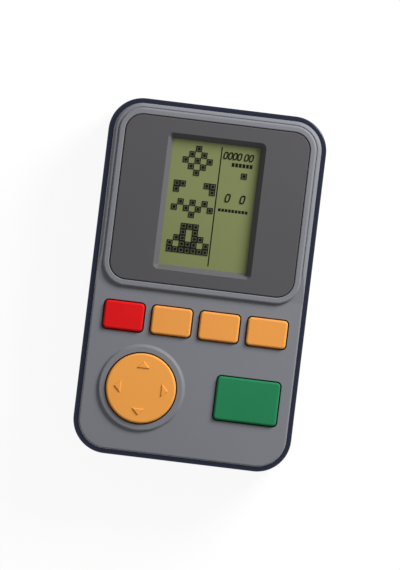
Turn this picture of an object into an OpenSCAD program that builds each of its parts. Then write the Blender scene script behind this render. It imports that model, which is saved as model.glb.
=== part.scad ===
// Pocket game console, lying on its back with the face up.
// Two-part case, screen behind a sunk window, four row buttons, a large action button,
// a tilting direction pad, and a sliding battery door on the back.
// Millimetres: X across the case, Y towards the screen end, Z out of the face.
// The origin is the middle of the back, on the surface that the console rests on.

/* [Case] */
// Width of the rear shell
body_w = 64; // [62:0.5:70]
// Length of the rear shell
body_l = 104.4; // [95:0.2:114]
// Corner radius of the rear shell, seen from the front
corner_r = 10; // [9:0.5:11]
// Height of the line where the two shells meet
rear_h = 14; // [12:0.5:16]
// Free depth between the battery bay and the circuit board
stack_spare = 0.7; // [0.5:0.1:3]
// Width of the rear shell's ledge that shows around the front shell
rim_step = 1.55; // [1:0.05:2]
// Width of the ledge that carries the front shell's wall
ledge_w = 0.7; // [0.5:0.05:0.9]
// Wall of the front shell
front_wall = 1.6; // [1.4:0.1:2]
// Floor of the rear shell
floor_t = 2; // [1.8:0.1:2.4]
// Thickness of the front shell's face
plate_t = 1.8; // [1.5:0.1:2.1]
// Rounding of the rear shell's lower edge
back_edge_r = 3; // [2:0.5:3.5]
// Rounding of the rear shell's upper edge
shoulder_r = 0.4; // [0.3:0.1:0.9]
// Rounding of the front shell's edge
face_edge_r = 0.5; // [0.5:0.1:1]
// How far the front shell's lip reaches down inside the rear shell
lip_h = 1.6; // [1:0.1:2]
// Clearance around the lip
lip_gap = 0.15; // [0.1:0.05:0.25]
// Distance from the case's sides to the screw axes
screw_inset = 7.1; // [6.8:0.1:7.6]
// Diameter of the case screws
screw_d = 2.2; // [1.8:0.1:2.5]
// Length of the case screws under the head
screw_l = 11; // [9:0.5:12]

/* [Screen] */
// Length of the face that the buttons and the pad take up, below the screen's ring
controls_l = 47.75; // [46.9:0.05:52]
// Thickness of the screen surround
panel_t = 1.5; // [1.2:0.1:1.5]
// Gap between the screen surround and the raised ring
panel_gap = 0.2; // [0.1:0.05:0.3]
// How far the screen surround lies below the top of the ring
panel_drop = 0.2; // [0.1:0.1:0.5]
// Distance from the front shell's sides to the ring
ring_margin = 1.45; // [1.1:0.05:1.8]
// Distance from the front shell's screen end to the ring
ring_end_margin = 1.3; // [0.95:0.05:1.6]
// Width of the raised ring
ring_w = 1.8; // [1.5:0.05:2.2]
// Height of the raised ring above the face
ring_h = 1.1; // [0.9:0.1:1.4]
// Rounding of the ring's outer edge
ring_outer_r = 0.6; // [0.3:0.1:0.9]
// Rounding of the ring's inner edge
ring_inner_r = 0.3; // [0.2:0.1:0.6]
// Height of the border between the ring and the front shell's edges
border_h = 0.7; // [0.3:0.1:0.8]
// Rounding of the border's outer edge
border_r = 1.1; // [0.8:0.1:1.1]
// Length over which the border rises, beside the ring's foot
border_run = 8.5; // [5:0.5:10]
// Width of the groove between the ring and the border
groove_w = 0.3; // [0.2:0.05:0.5]
// Depth of that groove below the border's top
groove_h = 0.15; // [0.1:0.05:0.5]
// Width of the screen that shows
window_w = 25.6; // [22:0.1:27]
// Distance between the window and the ends of its surround
window_border = 5.7; // [5:0.05:8]
// Shift of the window from the middle of its surround
window_shift = -0.1; // [-0.6:0.05:0.4]
// Run of the window's sloped walls
window_slope = 1.6; // [1:0.05:1.8]
// Shelf of the front shell between the surround and the screen glass
shelf_t = 1; // [0.6:0.1:1]
// How far the screen glass reaches past the window
glass_margin = 3.1; // [2.9:0.1:3.3]
// Thickness of each screen glass
glass_t = 1.1; // [0.7:0.1:1.1]
// Length of the contact ledge on the front glass
contact_ledge = 3.2; // [2.8:0.1:3.4]

/* [Buttons] */
// Width of a row button
button_w = 11.6; // [10:0.1:12]
// Length of a row button
button_l = 8.2; // [7.4:0.1:9]
// Width of the action button
green_w = 18.4; // [16:0.1:20]
// Length of the action button
green_l = 12.7; // [11:0.1:13.5]
// Gap between a button and its hole
button_gap = 0.4; // [0.2:0.05:0.4]
// Height of the buttons above the face
button_rise = 1; // [0.8:0.1:2.4]
// Rounding of a button's top edge
button_round = 0.6; // [0.4:0.1:1]
// Corner radius of a button, seen from the front
button_corner_r = 1.1; // [1.05:0.05:1.5]
// How far a button goes down when it is pressed
button_travel = 1; // [0.6:0.1:1.1]
// Distance from the raised ring to the row of button holes
row_gap = 4.2; // [3.3:0.1:4.6]

/* [Direction pad] */
// Diameter of the direction pad
pad_d = 20.4; // [18:0.1:20.8]
// Gap between the pad and its hole
pad_gap = 0.4; // [0.3:0.02:0.4]
// Height of the pad above its raised seat
pad_rise = 0.8; // [0.7:0.1:2]
// Rounding of the pad's top edge
pad_round = 0.6; // [0.3:0.1:1]
// Width of the raised seat around the pad
plateau_w = 2.4; // [1.8:0.1:2.8]
// Height of the raised seat
plateau_h = 0.8; // [0.4:0.1:1]
// Distance from the screen surround's left edge to the pad's centre
pad_inset = 13.5; // [13.3:0.1:14.4]
// Distance from the button row to the pad's centre
pad_drop = 20.4; // [20:0.1:20.8]
// Width of a raised arrow's base
arrow_w = 4; // [2.4:0.1:4]
// Length of a raised arrow
arrow_l = 2.05; // [1.4:0.05:2.4]
// Distance from the pad's centre to an arrow's base
arrow_reach = 5.9; // [4.5:0.1:6.4]
// Height of a raised arrow
arrow_rise = 0.3; // [0.15:0.05:0.4]

/* [Circuit board] */
// Thickness of the circuit board
board_t = 1.2; // [1:0.1:1.6]
// Depth of the space between the face and the board
board_drop = 4.4; // [4.2:0.1:4.6]
// Clearance between the board and the case's walls
board_clear = 1.2; // [0.8:0.1:1.6]
// Diameter of the board screws
board_screw_d = 1.8; // [1.4:0.1:2]

/* [Batteries] */
// Diameter of a battery
cell_d = 10.5; // [9.5:0.1:11.6]
// Length of a battery with its nub
cell_l = 44.5; // [40:0.1:49]
// Clearance around the batteries
cell_clear = 0.3; // [0.2:0.05:0.4]
// Length of a compressed battery spring
spring_l = 6; // [5.4:0.1:6.4]
// Wire diameter of a battery spring
spring_wire = 0.7; // [0.5:0.05:0.75]
// Wall of the battery bay
bay_wall = 1.2; // [1:0.1:1.4]
// Clearance around the battery door
door_gap = 0.2; // [0.15:0.05:0.25]
// Number of grip grooves in the battery door
grip_count = 6; // [3:1:8]

/* [Sound] */
// Diameter of the sound disc
piezo_d = 20; // [16:0.5:21]
// Diameter of a sound hole
sound_hole_d = 1.8; // [1:0.1:2]
// Number of sound holes in the ring
sound_holes = 8; // [5:1:9]

/* [Hidden] */
$fn = 96;

// Colours, as the photograph shows them
navy = [0.10, 0.12, 0.18];
shell_grey = [0.46, 0.47, 0.49];
surround_grey = [0.30, 0.30, 0.31];
lcd_green = [0.48, 0.52, 0.34];
button_red = [0.80, 0.11, 0.12];
button_orange = [0.89, 0.60, 0.30];
button_green = [0.16, 0.48, 0.31];
rubber_grey = [0.75, 0.76, 0.78];
carbon_black = [0.08, 0.08, 0.08];
steel = [0.72, 0.73, 0.75];
brass = [0.80, 0.66, 0.35];
board_green = [0.10, 0.35, 0.18];

// Small named amounts
quarter_turns = [0, 90, 180, 270];
past = 1;          // how far a cutter runs past the surface it opens
sunk = 0.4;        // how far a fused boss, rib or arrow is sunk into what carries it
seat_gap = 0.05;   // gap between pieces that press on each other
fit_gap = 0.03;    // gap between a screw or peg and its hole
rest_gap = 0.15;   // gap between a button's flange and the face at rest

// Front shell outline
front_w = body_w - 2 * rim_step;
front_l = body_l - 2 * rim_step;
front_r = corner_r - rim_step;
front_in_w = front_w - 2 * front_wall;
front_in_l = front_l - 2 * front_wall;
front_in_r = front_r - front_wall;
rear_wall = rim_step + ledge_w;
rear_in_w = body_w - 2 * rear_wall;
rear_in_l = body_l - 2 * rear_wall;
rear_in_r = corner_r - rear_wall;
rear_in_edge_r = 1;

// Depth: the door, the batteries, the board and the keys lie over each other
cell_space = 0.4;
cell_x = cell_space / 2 + cell_d / 2;
cell_z = floor_t + cell_clear + cell_d / 2;
bay_top = cell_z + cell_d / 2 + cell_clear;
bay_roof = 0.8;
board_under = bay_top + bay_roof + stack_spare;
board_top = board_under + board_t;
plate_under = board_top + board_drop;
face_h = plate_under + plate_t;

// Screen places: the surround takes the length that the controls leave
ring_out_w = front_w - 2 * ring_margin;
panel_w = ring_out_w - 2 * (ring_w + panel_gap);
pocket_w = panel_w + 2 * panel_gap;
ring_out_l = front_l - ring_end_margin - controls_l;
panel_l = ring_out_l - 2 * (ring_w + panel_gap);
pocket_l = panel_l + 2 * panel_gap;
panel_y = front_l / 2 - ring_end_margin - ring_out_l / 2;
ring_foot_y = panel_y - ring_out_l / 2;
ring_out_r = front_r - ring_margin;
pocket_r = ring_out_r - ring_w;
panel_r = pocket_r - panel_gap;
border_lead = 0.9;                   // how far past the ring's foot the border starts to rise
border_start = ring_foot_y + border_lead;
border_inset = 0.05;                 // keeps the border just inside the front shell's sides
panel_edge_r = 0.3;
panel_top = face_h + ring_h - panel_drop;
pocket_floor = panel_top - panel_t;
window_l = panel_l - 2 * window_border;
window_y = panel_y + window_shift;
lcd_top = pocket_floor - shelf_t;
window_wall = 1.7;                   // wall of the surround's window at the screen
funnel_w = window_w + 2 * window_wall;
funnel_l = window_l + 2 * window_wall;
glass_w = window_w + 2 * glass_margin;
glass_l = window_l + 2 * glass_margin;
glass_clear = 0.3;
glass_place_w = glass_w + 2 * glass_clear;
glass_place_l = glass_l + contact_ledge + 2 * glass_clear;
glass_rib = 1;                       // wall of the rib frame that holds the glass
glass_rib_h = 1.8;
reflector_t = 0.3;
reflector_w = glass_w - 1;
reflector_l = glass_l - 1;
lcd_bottom = lcd_top - 2 * glass_t - reflector_t;

// Circuit board places
board_w = front_in_w - 2 * board_clear;
board_end_spare = 0.8;               // more clearance at the board's ends
board_l = front_in_l - 2 * (board_clear + board_end_spare);
track_t = 0.1;
track_margin = 0.6;                  // how far the contact tracks reach past a pill

// Button places: the row and the action button line up with the surround's edges
hole_w = button_w + 2 * button_gap;
hole_l = button_l + 2 * button_gap;
row_count = 4;
row_pitch = (pocket_w - hole_w) / (row_count - 1);
row_y = ring_foot_y - row_gap - hole_l / 2;
row_x = [for (i = [0 : row_count - 1]) (i - (row_count - 1) / 2) * row_pitch];
pad_x = -panel_w / 2 + pad_inset;
pad_y = row_y - pad_drop;
green_x = pocket_w / 2 - green_w / 2 - button_gap;
green_y = pad_y;
flange_t = 1;
flange_reach = 1;
flange_under = plate_under - rest_gap - flange_t;
key_wall = 1.3;
key_post_r = 2;
guide_rib = 1;
guide_gap = 0.3;
guide_h = 2;

// Rubber keypads
sheet_t = 0.8;
skirt_t = 0.5;
pill_t = 0.4;
press_spare = 0.1;
plunger_l = 0.3;
dome_roof = 0.4;
key_dome = [4.2, 2.8, 1.8];          // base, top and pill radius of a button's dome
pad_dome = [3.4, 2.0, 1.2];          // the same for a dome under the pad
mat_margin = 0.6;
green_mat_spare = 4;                 // how much wider than long the action button's mat is
mat_corner_r = 1.5;
dome_top = flange_under - seat_gap;

// Direction pad: it rocks on a ball, so it stays centred in its hole
pad_tilt = 4;
pad_hole_r = pad_d / 2 + pad_gap;
pad_top = face_h + plateau_h + pad_rise;
pad_flange_reach = 0.8;
pad_flange_r = pad_hole_r + pad_flange_reach;
pad_flange_t = 0.9;
tilt_spare = 0.2;
pad_lift = pad_flange_r * sin(pad_tilt) * sqrt(2) + tilt_spare;
pad_flange_top = plate_under - pad_lift;
pad_flange_under = pad_flange_top - pad_flange_t;
pad_wall = 1.6;
pad_guide_gap = 0.7;
pad_guide_r = pad_flange_r + pad_guide_gap;
ball_r = 1.8;
ball_rise = 0.4;                     // height of the ball's middle above the face's underside
ball_z = plate_under + ball_rise;
cup_gap = 0.05;
boss_r = 3.4;
boss_under = plate_under;
rocking_space = 0.6;                 // space between the pad's boss and the seat
seat_r = 2.2;
seat_top = boss_under - rocking_space;
seat_peg_r = 1.2;
pad_dome_reach = 6.6;
pad_plunger_r = 1.6;
pad_press = pad_dome_reach * sin(pad_tilt) + press_spare;
pad_dome_top = pad_flange_under - seat_gap;
pad_mat_r = pad_guide_r - mat_margin;
seat_hole_r = seat_r + guide_gap;
plateau_run = 1.1;                   // run of the raised seat's slope
plateau_feather = 0.05;              // the slope's foot ends this much before it thins out to nothing
arrow_bevel = 0.2;

// Case screws and bosses
boss_x = body_w / 2 - screw_inset;
boss_y = body_l / 2 - screw_inset;
boss_drop = 1;                       // the bosses meet this far below the shells' line
boss_meet = rear_h - boss_drop;
rear_boss_r = 3.4;
front_boss_r = 2.6;
gusset_t = 1.2;
screw_head_r = screw_d;
screw_head_h = 1.8;
sink_r = screw_head_r + guide_gap;
boss_grip = 6;                       // length of a rear boss between screw head and front boss
sink_depth = boss_meet - boss_grip;
screw_pass = 0.2;
pilot_spare = 0.6;
pilot_tip_wall = 0.6;

// Board posts stand where screen, buttons and battery bay leave room
post_r = 2.2;
post_out = 6.6;                      // from the glass's sides to the posts
post_in = 3.8;                       // from the window's upper end down to the upper posts
post_drop = 2.6;                     // from the window's lower end down to the lower posts
foot_post_in = 1.5;                  // from the action button's middle towards the case's middle
foot_post_drop = 5.5;                // below the action button
post_x = glass_w / 2 + post_out;
post_upper_y = window_y + window_l / 2 - post_in;
post_lower_y = window_y - window_l / 2 - post_drop;
posts = [
    [-post_x, post_upper_y], [post_x, post_upper_y],
    [-post_x, post_lower_y], [post_x, post_lower_y],
    [green_x - foot_post_in, green_y - green_l / 2 - foot_post_drop]
];
board_screw_l = 4.2;
board_head_r = 1.7;
board_head_h = 1.1;

// Battery bay and door
bay_half_w = cell_x + cell_d / 2 + cell_clear;
contact_t = 0.4;
bay_l = cell_l + spring_l + 2 * contact_t;
bay_end_space = 3.3;
bay_low = -rear_in_l / 2 + bay_end_space + bay_wall;
bay_high = bay_low + bay_l;
door_overlap = 2;                    // how far the door reaches past the bay's sides and end
door_half_w = bay_half_w + door_overlap;
door_recess = 0.15;
door_top = floor_t - door_gap;
door_high = bay_high + door_overlap;
door_tongue_w = 0.8;
door_tongue_t = 0.8;
deck_t = 1.2;
deck_edge = 1.4;                     // how far the thick floor reaches past the door's grooves
deck_half_w = door_half_w + door_tongue_w + deck_edge;
deck_high = door_high + deck_edge;
grip_r = 0.5;
grip_pitch = 1.7;
grip_w = 14;
grip_start = 9;                      // from the case's foot end to the first groove
grip_low = -body_l / 2 + grip_start;
nub_r = 1.9;
nub_h = 0.8;
cell_edge = 0.5;
contact_w = 7.6;
contact_h = 7.6;
bridge_h = 3;                        // height of the strip that joins the two contacts at the foot end
tag_w = 2;
tag_l = 2.6;
spring_turns = 4;
spring_base_r = 3.8;
spring_tip_r = 2.4;
spring_rings = 8;                    // rings of the wire in each turn
spring_sides = 6;

// Sound disc behind the upper back
piezo_space = 9.6;                   // from the battery bay to the disc
piezo_y = bay_high + piezo_space + piezo_d / 2;
piezo_t = 0.25;
brass_margin = 3;                    // bare brass around the ceramic
ceramic_r = piezo_d / 2 - brass_margin;
piezo_seat = 1.2;                    // height of the step that the disc lies on
piezo_step = 0.9;
piezo_clear = 0.25;
piezo_ring = 1.1;
piezo_ring_rise = 0.8;               // height of the ring above the disc
sound_ring_r = 5;

// Pieces on the back of the board: their places are counted from the posts and the sound disc
blob_r = 6;
blob_h = 1.6;
blob_drop = 9;
can_r = 2.5;
can_h = 5.4;
can_bead = 0.4;
can_in = 6;
can_drop = 12.2;
can_pitch = 7;
resistor_w = 2;
resistor_l = 1.25;
resistor_t = 0.5;
resistor_in = 3;
resistor_drop = 11.2;
resistor_pitch = 3;
resistor_row = 2.4;
resonator_w = 8;
resonator_l = 3.6;
resonator_h = 3.6;
resonator_r = 1.7;
resonator_in = 6;
resonator_drop = 3.2;

// Leads: they rise from their joint to the board, and lean over by a short run on the way
lead_r = 0.45;
lead_sides = 8;
lead_steps = 6;
lead_upright = 0.2;                  // share of a lead that stays upright at each end
piezo_top = floor_t + piezo_seat + 2 * piezo_t;
speaker_lead_x = 5;
speaker_lead_in = 2;                 // from the disc's middle to the leads' joints
speaker_lead_run = -2;
tag_rise = 0.8;
tag_z = cell_z + tag_rise;
battery_lead_in = 2.4;               // from the battery bay to the leads' joints
battery_lead_run = 1.6;
function eased(part) = part * part * (3 - 2 * part);
function lead(x, y, low, run) = [for (i = [0 : lead_steps])
    let (part = i / lead_steps, lean = (part - lead_upright) / (1 - 2 * lead_upright))
    [x, y + run * eased(min(max(lean, 0), 1)), low + (board_under - low) * part]];

// Shared shapes

// Rectangle with round corners, centred
module round_rect(w, l, r) {
    square([w - 2 * r, l], center = true);
    square([w, l - 2 * r], center = true);
    for (x = [-1, 1], y = [-1, 1])
        translate([x * (w / 2 - r), y * (l / 2 - r)]) circle(r);
}

// Upright plate with round corners
module round_plate(w, l, r, low, high) {
    translate([0, 0, low]) linear_extrude(high - low) round_rect(w, l, r);
}

// Quarter of a disc, in the corner between +X and +Y
module quarter_disc(r) {
    intersection() {
        circle(r);
        square(r + past);
    }
}

// Half section of a wall: out to x, from low to high, with its outer corners rounded
module edge_section(x, low, high, low_r, high_r) {
    translate([0, low]) square([x - max(low_r, high_r), high - low]);
    translate([0, low + low_r]) square([x, high - high_r - low - low_r]);
    if (low_r > 0) translate([x - low_r, low + low_r]) mirror([0, 1]) {
        quarter_disc(low_r);
        translate([low_r - x, 0]) square([x - low_r, low_r]);
    }
    if (high_r > 0) translate([x - high_r, high - high_r]) {
        quarter_disc(high_r);
        translate([high_r - x, 0]) square([x - high_r, high_r]);
    }
}

// Carries a half section round a rectangle with the given straight lengths
module carry_round(straight_w, straight_l) {
    for (x = [0, 1], y = [0, 1])
        mirror([x, 0, 0]) mirror([0, y, 0])
            translate([straight_w / 2, straight_l / 2, 0]) rotate_extrude(angle = 90) children();
    for (x = [0, 1])
        mirror([x, 0, 0]) translate([straight_w / 2, straight_l / 2, 0])
            rotate([90, 0, 0]) linear_extrude(straight_l) children();
    for (y = [0, 1])
        mirror([0, y, 0]) translate([-straight_w / 2, straight_l / 2, 0])
            rotate([90, 0, 90]) linear_extrude(straight_w) children();
}

// Block with round corners and rounded lower and upper edges
module soft_block(w, l, r, low, high, low_r, high_r) {
    straight_w = w - 2 * r;
    straight_l = l - 2 * r;
    carry_round(straight_w, straight_l) edge_section(r, low, high, low_r, high_r);
    translate([-straight_w / 2, -straight_l / 2, low]) cube([straight_w, straight_l, high - low]);
}

// Box given by its middle in X and Y
module middle_box(w, l, low, high) {
    translate([-w / 2, -l / 2, low]) cube([w, l, high - low]);
}

// Tube of round wire along a list of points; side is a direction that no stretch runs along
function unit(v) = v / norm(v);
module wire(points, r, sides, side) {
    count = len(points);
    along = [for (i = [0 : count - 1]) unit(points[min(i + 1, count - 1)] - points[max(i - 1, 0)])];
    rim = [for (i = [0 : count - 1])
        let (a = unit(cross(along[i], side)), b = cross(along[i], a))
        for (k = [0 : sides - 1])
            points[i] + r * (cos(360 * k / sides) * a + sin(360 * k / sides) * b)];
    skin = [for (i = [0 : count - 2], k = [0 : sides - 1])
        let (p = i * sides + k, q = i * sides + (k + 1) % sides)
        each [[p, q + sides, q], [p, p + sides, q + sides]]];
    start = [for (k = [1 : sides - 2]) [0, k, k + 1]];
    last = (count - 1) * sides;
    end = [for (k = [1 : sides - 2]) [last, last + k + 1, last + k]];
    polyhedron(rim, concat(skin, start, end));
}

// Places its children at the four case screws
module at_case_screws() {
    for (x = [-1, 1], y = [-1, 1]) translate([x * boss_x, y * boss_y, 0]) children();
}

// Case

module rear_body() {
    difference() {
        soft_block(body_w, body_l, corner_r, 0, rear_h, back_edge_r, shoulder_r);
        soft_block(rear_in_w, rear_in_l, rear_in_r, floor_t, rear_h + past, rear_in_edge_r, 0);
    }
}

// Boss with two gussets that run to the nearest walls
module rear_boss(x, y) {
    reach_x = rear_in_w / 2 - boss_x + sunk;
    reach_y = rear_in_l / 2 - boss_y + sunk;
    gusset_h = rear_h - lip_h - guide_gap - floor_t + sunk;
    translate([x * boss_x, y * boss_y, floor_t - sunk]) {
        cylinder(r = rear_boss_r, h = boss_meet - floor_t + sunk);
        translate([x > 0 ? 0 : -reach_x, -gusset_t / 2, 0]) cube([reach_x, gusset_t, gusset_h]);
        translate([-gusset_t / 2, y > 0 ? 0 : -reach_y, 0]) cube([gusset_t, reach_y, gusset_h]);
    }
}

// Section of the two batteries' space, seen along the case
module bay_section() {
    for (x = [-1, 1]) translate([x * cell_x, cell_z]) circle(cell_d / 2 + cell_clear);
    translate([-bay_half_w, -past]) square([2 * bay_half_w, cell_z + past]);
}

// Section of the battery door's way, with a groove on each side for its tongues
module door_way_section() {
    half_w = door_half_w + door_gap;
    translate([-half_w, -past]) square([2 * half_w, floor_t + past]);
    groove_low = door_top - door_tongue_t - door_gap;
    groove_half_w = half_w + door_tongue_w;
    translate([-groove_half_w, groove_low]) square([2 * groove_half_w, floor_t - groove_low]);
}

// Runs a section drawn in X and Z along the case
module along_case(from_y, to_y) {
    translate([0, to_y, 0]) rotate([90, 0, 0]) linear_extrude(to_y - from_y) children();
}

module piezo_holder() {
    disc_r = piezo_d / 2 + piezo_clear;
    translate([0, piezo_y, floor_t - sunk]) rotate_extrude() {
        translate([disc_r, 0]) square([piezo_ring, sunk + piezo_seat + 2 * piezo_t + piezo_ring_rise]);
        translate([disc_r - piezo_step, 0]) square([piezo_step + sunk, sunk + piezo_seat]);
    }
}

module rear_shell() {
    tub_half_w = bay_half_w + bay_wall;
    color(navy) difference() {
        union() {
            rear_body();
            for (x = [-1, 1], y = [-1, 1]) rear_boss(x, y);
            translate([-deck_half_w, -rear_in_l / 2 - sunk, floor_t - sunk])
                cube([2 * deck_half_w, deck_high + rear_in_l / 2 + sunk, deck_t + sunk]);
            translate([-tub_half_w, bay_low - bay_wall, floor_t])
                cube([2 * tub_half_w, bay_l + 2 * bay_wall, bay_top + bay_roof - floor_t]);
            piezo_holder();
        }
        along_case(-body_l / 2 - past, door_high + door_gap) door_way_section();
        along_case(bay_low, bay_high) bay_section();
        for (x = [-1, 1])
            translate([x * cell_x - tag_w / 2 - door_gap, bay_high - past, tag_z - door_gap])
                cube([tag_w + 2 * door_gap, bay_wall + 2 * past, contact_t + 2 * door_gap]);
        at_case_screws() {
            translate([0, 0, -past]) cylinder(r = sink_r, h = sink_depth + past);
            cylinder(r = screw_d / 2 + screw_pass, h = boss_meet + past);
        }
        translate([0, piezo_y, -past]) {
            cylinder(d = sound_hole_d, h = floor_t + 2 * past);
            for (i = [0 : sound_holes - 1])
                rotate(i * 360 / sound_holes) translate([sound_ring_r, 0, 0])
                    cylinder(d = sound_hole_d, h = floor_t + 2 * past);
        }
    }
}

// Raised ring around the screen surround
module screen_ring() {
    straight_w = ring_out_w - 2 * ring_out_r;
    straight_l = ring_out_l - 2 * ring_out_r;
    translate([0, panel_y, 0]) carry_round(straight_w, straight_l) difference() {
        edge_section(ring_out_r, face_h - sunk, face_h + ring_h, 0, ring_outer_r);
        difference() {
            translate([-past, face_h - sunk - past])
                square([pocket_r + ring_inner_r + past, ring_h + sunk + 2 * past]);
            translate([pocket_r, face_h - sunk - 2 * past])
                square([ring_inner_r + past, ring_h + sunk + 2 * past - ring_inner_r]);
            translate([pocket_r + ring_inner_r, face_h + ring_h - ring_inner_r]) circle(ring_inner_r);
        }
    }
}

// Border between the ring and the front shell's edges; it rises from nothing beside the ring's foot,
// and a groove parts it from the ring
module screen_border() {
    low = face_h - border_r;
    high = face_h + border_h;
    slope = border_run / border_h;
    difference() {
        intersection() {
            soft_block(front_w - 2 * border_inset, front_l - 2 * border_inset, front_r - border_inset,
                low, high, 0, border_r);
            translate([-front_w / 2, 0, 0]) rotate([90, 0, 90]) linear_extrude(front_w)
                polygon([[border_start - slope * border_r, low], [front_l / 2, low], [front_l / 2, high + past],
                    [border_start + slope * (border_h + past), high + past]]);
        }
        translate([0, panel_y, 0]) round_plate(ring_out_w + 2 * groove_w, ring_out_l + 2 * groove_w,
            ring_out_r + groove_w, high - groove_h, high + past);
    }
}

// Raised seat around the pad, with a soft foot and a rounded edge
module pad_plateau() {
    bend = atan(plateau_h / plateau_run);
    bend_r = plateau_run / (2 * sin(2 * bend));
    foot = pad_hole_r + plateau_w;
    top = foot - plateau_run;
    translate([pad_x, pad_y, face_h]) rotate_extrude() {
        translate([0, -sunk]) square([foot - plateau_feather, sunk]);
        difference() {
            square([foot - plateau_feather, plateau_h / 2]);
            translate([foot, bend_r]) circle(bend_r);
        }
        intersection() {
            translate([0, plateau_h / 2]) square([foot, plateau_h / 2]);
            union() {
                square([top, plateau_h]);
                translate([top, plateau_h - bend_r]) circle(bend_r);
            }
        }
    }
}

// Boss for a case screw under the face, with gussets to the nearest walls
module front_boss(x, y) {
    reach_x = front_in_w / 2 - boss_x + sunk;
    reach_y = front_in_l / 2 - boss_y + sunk;
    h = plate_under - boss_meet + sunk;
    gusset_low = rear_h + sunk;
    gusset_h = plate_under - gusset_low + sunk;
    translate([x * boss_x, y * boss_y, 0]) {
        translate([0, 0, boss_meet]) cylinder(r = front_boss_r, h = h);
        translate([x > 0 ? 0 : -reach_x, -gusset_t / 2, gusset_low]) cube([reach_x, gusset_t, gusset_h]);
        translate([-gusset_t / 2, y > 0 ? 0 : -reach_y, gusset_low]) cube([gusset_t, reach_y, gusset_h]);
    }
}

// Ribs under the face that guide the flanges of a row of buttons
module guide_ribs(x, y, w, l) {
    half_l = l / 2 + button_gap + flange_reach + guide_gap;
    for (side = [-1, 1])
        translate([x, y + side * (half_l + guide_rib / 2), 0])
            middle_box(w, guide_rib, plate_under - guide_h, plate_under + sunk);
}

module front_openings() {
    translate([0, panel_y, 0])
        round_plate(pocket_w, pocket_l, pocket_r, pocket_floor, face_h + ring_h + past);
    funnel_clear = 2 * panel_gap;
    translate([0, window_y, 0])
        middle_box(funnel_w + funnel_clear, funnel_l + funnel_clear, plate_under - past, face_h);
    translate([0, window_y - contact_ledge / 2, 0])
        middle_box(glass_place_w, glass_place_l, plate_under - past, lcd_top);
    for (x = row_x) translate([x, row_y, 0])
        round_plate(hole_w, hole_l, button_corner_r + button_gap, plate_under - past, face_h + past);
    translate([green_x, green_y, 0])
        round_plate(green_w + 2 * button_gap, green_l + 2 * button_gap, button_corner_r + button_gap,
            plate_under - past, face_h + past);
    translate([pad_x, pad_y, plate_under - past])
        cylinder(r = pad_hole_r, h = plate_t + plateau_h + 2 * past);
}

module front_body() {
    difference() {
        union() {
            soft_block(front_w, front_l, front_r, rear_h, face_h, 0, face_edge_r);
            screen_ring();
            screen_border();
            pad_plateau();
        }
        soft_block(front_in_w, front_in_l, front_in_r, rear_h - past, plate_under, 0, 0);
        front_openings();
    }
    difference() {
        front_lip();
        at_case_screws() translate([0, 0, rear_h - lip_h - past])
            cylinder(r = rear_boss_r + lip_gap, h = lip_h + past);
    }
}

// Lip that reaches down inside the rear shell
module front_lip() {
    lip_t = front_wall - ledge_w - lip_gap;
    carry_round(front_in_w - 2 * front_in_r, front_in_l - 2 * front_in_r)
        translate([front_in_r, rear_h - lip_h]) square([lip_t, lip_h + sunk]);
}

module front_shell() {
    rib_low = plate_under - glass_rib_h;
    color(shell_grey) difference() {
        union() {
            front_body();
            for (x = [-1, 1], y = [-1, 1]) front_boss(x, y);
            for (p = posts) translate([p[0], p[1], board_top])
                cylinder(r = post_r, h = plate_under - board_top + sunk);
            translate([0, window_y - contact_ledge / 2, 0]) difference() {
                middle_box(glass_place_w + 2 * glass_rib, glass_place_l + 2 * glass_rib, rib_low, lcd_top);
                middle_box(glass_place_w, glass_place_l, rib_low - past, plate_under + past);
            }
            guide_ribs(0, row_y, pocket_w, button_l);
            guide_ribs(green_x, green_y, green_w, green_l);
            translate([pad_x, pad_y, plate_under - guide_h]) difference() {
                cylinder(r = pad_guide_r + guide_rib, h = guide_h + sunk);
                translate([0, 0, -past]) cylinder(r = pad_guide_r, h = guide_h + sunk + 2 * past);
            }
        }
        pilot_r = screw_d / 2 + fit_gap;
        pilot_top = min(sink_depth + screw_l + pilot_spare, face_h - pilot_tip_wall);
        at_case_screws() translate([0, 0, boss_meet - past])
            cylinder(r = pilot_r, h = pilot_top - boss_meet + past);
        for (p = posts) translate([p[0], p[1], board_top - past])
            cylinder(d = board_screw_d + 2 * fit_gap, h = board_screw_l - board_t + pilot_spare / 2 + past);
    }
}

module battery_door() {
    end_y = -body_l / 2;
    color(navy) difference() {
        intersection() {
            along_case(end_y, door_high) {
                translate([-door_half_w, door_recess]) square([2 * door_half_w, door_top - door_recess]);
                tongue_half_w = door_half_w + door_tongue_w;
                translate([-tongue_half_w, door_top - door_tongue_t])
                    square([2 * tongue_half_w, door_tongue_t]);
            }
            translate([-body_w / 2, 0, 0]) rotate([90, 0, 90]) linear_extrude(body_w) mirror([1, 0])
                foot_end_section();
        }
        for (i = [0 : grip_count - 1])
            translate([-grip_w / 2, grip_low + i * grip_pitch, door_recess]) rotate([0, 90, 0])
                cylinder(r = grip_r, h = grip_w);
    }
}

// The rear shell's side view at its foot end, up to the door's top
module foot_end_section() {
    translate([-body_l / 2, 0]) square([body_l - back_edge_r, back_edge_r + past]);
    translate([body_l / 2 - back_edge_r, back_edge_r]) circle(back_edge_r);
    translate([-body_l / 2, back_edge_r]) square([body_l, past]);
}

// Screw with a domed head and a cross slot; the head hangs under z = 0, the shank stands on it
module screw(d, l, head_r, head_h) {
    slot_w = d / 4;
    slot_l = head_r + slot_w;
    difference() {
        rotate_extrude() {
            mirror([0, 1]) edge_section(head_r, 0, head_h, 0, head_r / 2);
            square([d / 2, l - d / 2]);
            polygon([[0, l - d / 2], [d / 2, l - d / 2], [0, l]]);
        }
        for (a = [0, 90]) rotate(a) middle_box(slot_l, slot_w, -head_h - past, -head_h / 2);
    }
}

module case_screws() {
    color(steel) at_case_screws() translate([0, 0, sink_depth])
        screw(screw_d, screw_l, screw_head_r, screw_head_h);
}

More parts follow.
